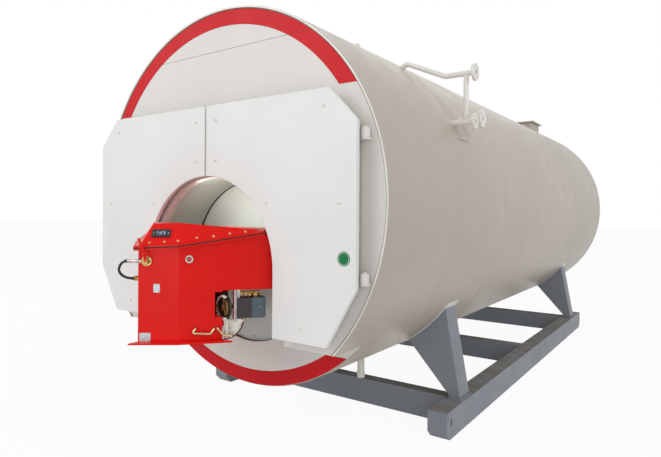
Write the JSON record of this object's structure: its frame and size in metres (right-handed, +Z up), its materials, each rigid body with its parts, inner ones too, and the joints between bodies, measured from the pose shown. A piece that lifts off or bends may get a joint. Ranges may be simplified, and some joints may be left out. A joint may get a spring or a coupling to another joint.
{
  "type": "industrial fire-tube steam boiler with burner",
  "caption": "Horizontal insulated steam boiler on a steel skid, with a red forced-draught burner in its front recess and two hinged smokebox doors.",
  "frame": {"origin": "on the floor, below the middle of the whole boiler", "axes": "+Z up, +Y from the burner end to the back end along the drum, +X to the right of someone who faces the burner"},
  "size_m": [2.252, 6.509, 2.73],
  "materials": {
    "casing_paint": "glossy",
    "front_paint": "satin",
    "red_band_paint": "glossy",
    "inner_sheet": "satin",
    "boiler_plate": "matte",
    "skid_paint": "satin",
    "burner_enamel": "glossy",
    "black_plastic": "matte",
    "brass": "polished",
    "servo_plastic": "matte",
    "zinc_steel": "satin",
    "hose_rubber": "matte"
  },
  "bodies": {
    "root": {"burner_base_plate": "burner_enamel", "burner_housing": "burner_enamel", "burner_lid": "burner_enamel", "burner_neck": "inner_sheet", "burner_plate": "front_paint", "casing_ring_front": "casing_paint", "casing_ring_rear": "casing_paint", "casing_ring_second": "casing_paint", "casing_ring_third": "casing_paint", "cross_beams": "skid_paint", "damper_cam_disc": "zinc_steel", "damper_quadrant": "zinc_steel", "display_panel": "black_plastic", "drain_pipe": "casing_paint", "drum_shell": "boiler_plate", "flue_collar": "casing_paint", "flue_lid": "casing_paint", "front_plate": "front_paint", "front_top_panel": "front_paint", "front_tube_plate": "boiler_plate", "gauge_pipes_left": "casing_paint", "gauge_pipes_right": "casing_paint", "hinge_brackets_left": "front_paint", "hinge_brackets_right": "front_paint", "hose_end_fitting": "brass", "lower_front_plate": "front_paint", "lower_red_band": "red_band_paint", "oil_pipes": "brass", "panel_joint_rail": "inner_sheet", "pressure_hose": "hose_rubber", "pressure_tap": "brass", "rear_access_cover": "casing_paint", "rear_end_plate": "casing_paint", "rear_tube_plate": "boiler_plate", "recess_wall": "inner_sheet", "saddle_front_left": "skid_paint", "saddle_front_right": "skid_paint", "saddle_rear_left": "skid_paint", "saddle_rear_right": "skid_paint", "servo_bracket": "zinc_steel", "servo_motor": "servo_plastic", "side_nozzle_left": "casing_paint", "side_nozzle_right": "casing_paint", "sight_glass_ring": "brass", "skid_rail_left": "skid_paint", "skid_rail_right": "skid_paint", "smokebox_floor": "inner_sheet", "smokebox_wall": "casing_paint", "upper_red_band": "red_band_paint", "vent_stub": "casing_paint"},
    "right_door": {"door_leaf_right": "front_paint", "door_cover_right": "front_paint", "hinge_barrels_right": "front_paint"},
    "left_door": {"door_leaf_left": "front_paint", "door_cover_left": "front_paint", "hinge_barrels_left": "front_paint"}
  },
  "joints": [
    {"name": "right_door_hinge", "type": "hinge", "parent": "root", "child": "right_door", "pos_m": [0.994, -2.7035, 1.44], "axis": [0, 0, 1], "range_deg": [0, 100]},
    {"name": "left_door_hinge", "type": "hinge", "parent": "root", "child": "left_door", "pos_m": [-0.994, -2.7035, 1.44], "axis": [0, 0, -1], "range_deg": [0, 100]}
  ]
}
